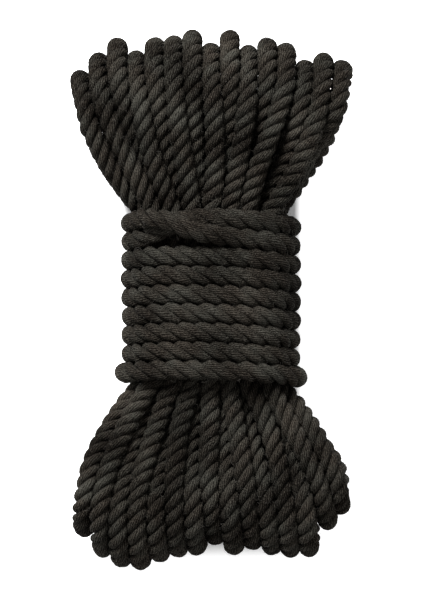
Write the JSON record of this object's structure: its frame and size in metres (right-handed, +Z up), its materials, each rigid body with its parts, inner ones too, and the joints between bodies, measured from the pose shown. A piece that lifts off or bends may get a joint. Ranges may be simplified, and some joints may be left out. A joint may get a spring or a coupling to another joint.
{
  "type": "rope hank",
  "caption": "Soft three-strand twisted cotton rope folded in long turns, fanned at both ends and wrapped tightly round the waist, with its ends bound and tucked.",
  "frame": {"origin": "under the middle of the hank's box, on the surface that it lies on", "axes": "+Z up out of the table, +Y along the hank towards the end that the last wraps are tucked at, +X to the right seen from above"},
  "size_m": [0.1122, 0.215, 0.0609],
  "materials": {
    "cotton_rope": "soft matt black cotton, laid in three strands, slightly fuzzy",
    "whipping_twine": "waxed black cotton twine, wound tightly"
  },
  "bodies": {
    "root": {"turn_01": "cotton_rope", "turn_02": "cotton_rope", "turn_03": "cotton_rope", "turn_04": "cotton_rope", "turn_05": "cotton_rope", "turn_06": "cotton_rope", "turn_07": "cotton_rope", "turn_08": "cotton_rope", "turn_09": "cotton_rope", "turn_10": "cotton_rope", "turn_11": "cotton_rope", "turn_12": "cotton_rope", "turn_13": "cotton_rope", "turn_14": "cotton_rope", "turn_15": "cotton_rope", "wrap_1": "cotton_rope", "wrap_2": "cotton_rope", "wrap_3": "cotton_rope", "wrap_4": "cotton_rope", "wrap_5": "cotton_rope", "wrap_6": "cotton_rope", "wrap_7": "cotton_rope", "wrap_8_under": "cotton_rope", "wrap_9_over": "cotton_rope", "first_end": "cotton_rope", "first_end_whipping": "whipping_twine", "last_end_whipping": "whipping_twine"}
  },
  "joints": []
}
